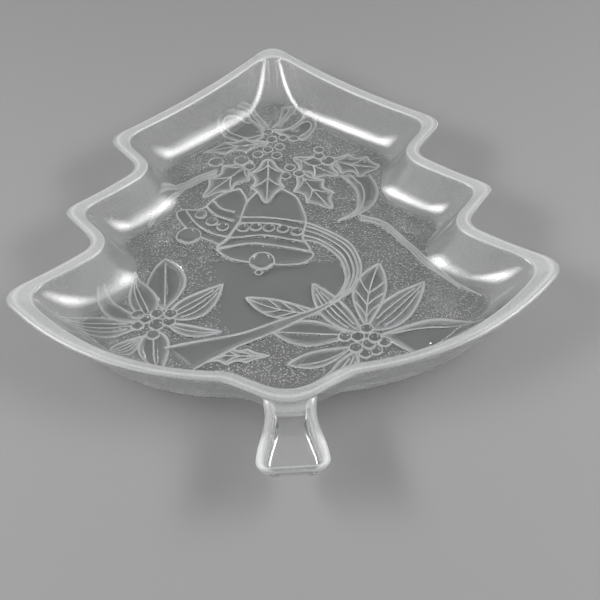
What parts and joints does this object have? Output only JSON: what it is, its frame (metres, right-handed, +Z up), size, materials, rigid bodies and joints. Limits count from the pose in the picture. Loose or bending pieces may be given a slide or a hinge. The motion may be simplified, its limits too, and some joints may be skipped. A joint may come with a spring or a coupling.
{
  "type": "serving dish",
  "caption": "Clear pressed-glass serving dish in the outline of a Christmas tree, with flaring walls, a flat foot band, festive relief under the floor and a trunk-shaped handle",
  "frame": {"origin": "centre of the bounding box in plan, on the table plane under the foot band", "axes": "+X across the tree to the right, +Y from the trunk handle to the apex, +Z up"},
  "size_m": [0.22, 0.256, 0.025],
  "materials": {
    "clear_glass": "clear, fire-polished gloss, with fine stippling between the motifs"
  },
  "bodies": {
    "root": {"bell_front": "clear_glass", "bell_rear": "clear_glass", "bell_rear_2": "clear_glass", "bell_rear_3": "clear_glass", "bell_rear_4": "clear_glass", "berry_spray_left": "clear_glass", "berry_spray_low": "clear_glass", "berry_spray_right": "clear_glass", "berry_spray_top": "clear_glass", "bow_knot": "clear_glass", "bow_loop_left": "clear_glass", "bow_loop_left_2": "clear_glass", "bow_loop_right": "clear_glass", "branch_tier_low": "clear_glass", "branch_tier_middle": "clear_glass", "branch_tier_top": "clear_glass", "clapper_front": "clear_glass", "clapper_rear": "clear_glass", "holly_leaf_centre": "clear_glass", "holly_leaf_far_right": "clear_glass", "holly_leaf_left": "clear_glass", "holly_leaf_lower_right": "clear_glass", "holly_leaf_right": "clear_glass", "holly_leaf_upper_left": "clear_glass", "leaf_inner": "clear_glass", "poinsettia_left": "clear_glass", "poinsettia_right": "clear_glass", "poinsettia_right_2": "clear_glass", "ribbon_loop_right": "clear_glass", "ribbon_sweep": "clear_glass", "ribbon_sweep_2": "clear_glass", "ribbon_sweep_3": "clear_glass", "ribbon_tail_left": "clear_glass", "ribbon_tail_left_low": "clear_glass", "ribbon_tail_right": "clear_glass", "trunk_handle": "clear_glass"}
  },
  "joints": []
}
